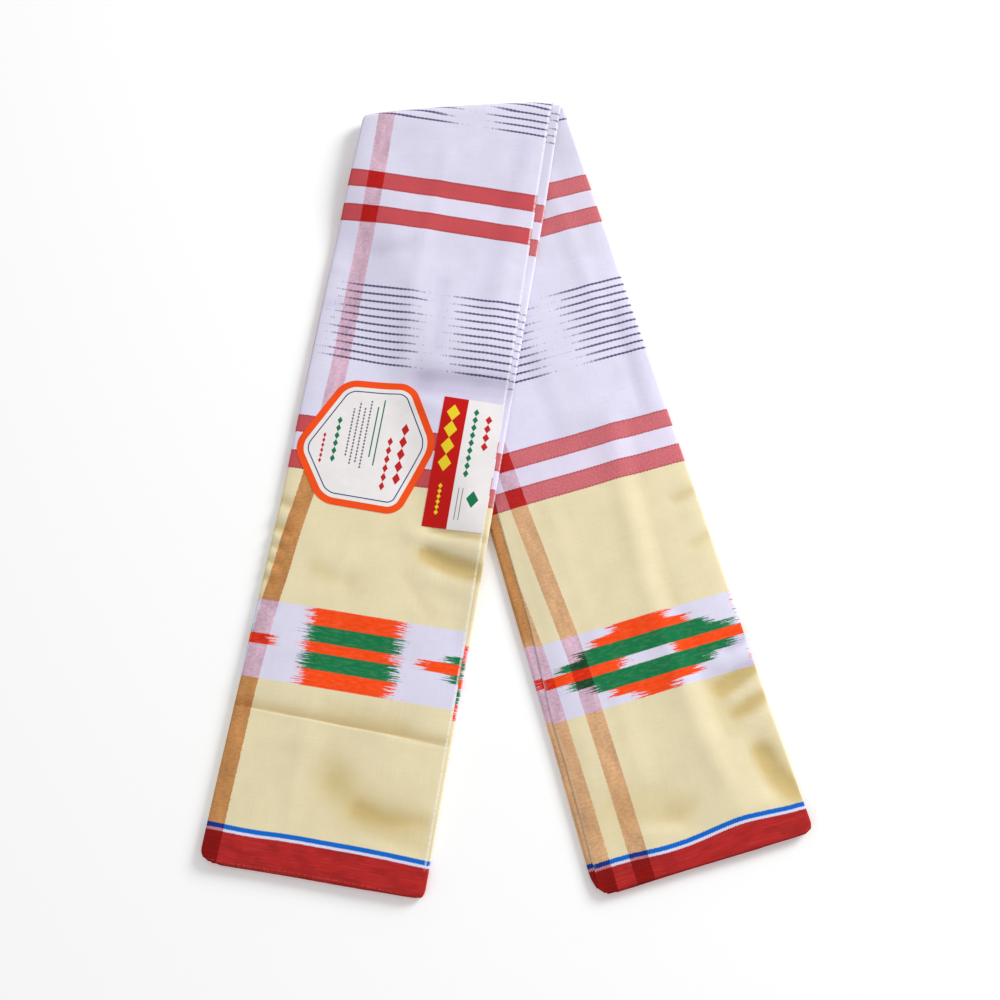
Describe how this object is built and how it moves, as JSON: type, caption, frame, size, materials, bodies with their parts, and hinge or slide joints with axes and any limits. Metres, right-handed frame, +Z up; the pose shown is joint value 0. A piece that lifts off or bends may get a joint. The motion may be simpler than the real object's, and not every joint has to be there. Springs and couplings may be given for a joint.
{
  "type": "folded lungi",
  "caption": "Cotton lungi (sarong tube) pressed and folded into a layered packet, turned over on itself and laid flat as an upside-down V.",
  "frame": {"origin": "middle of the laid-out packet on the surface it rests on", "axes": "+Z up off the surface, +Y from the hems towards the turnover, +X to the right of someone who looks at it from the hems"},
  "size_m": [0.4192, 0.6082, 0.0148],
  "materials": {
    "cotton_field": "plain-woven yarn-dyed cotton, pale yellow and lavender white with coloured stripes, matt",
    "cotton_border": "plain-woven yarn-dyed cotton, dark red border, matt",
    "label_orange": "coated paper label, orange rim round a cream field with rows of lozenges and plain rules",
    "label_red": "coated paper label, red strip beside a cream one, both with rows of lozenges"
  },
  "bodies": {
    "root": {"over_arm_top_leaf": "cotton_field", "over_arm_under_leaves": "cotton_border", "turnover": "cotton_field", "under_arm_top_leaf": "cotton_field", "under_arm_under_leaves": "cotton_border", "hexagon_label": "label_orange", "band_label": "label_red"}
  },
  "joints": []
}
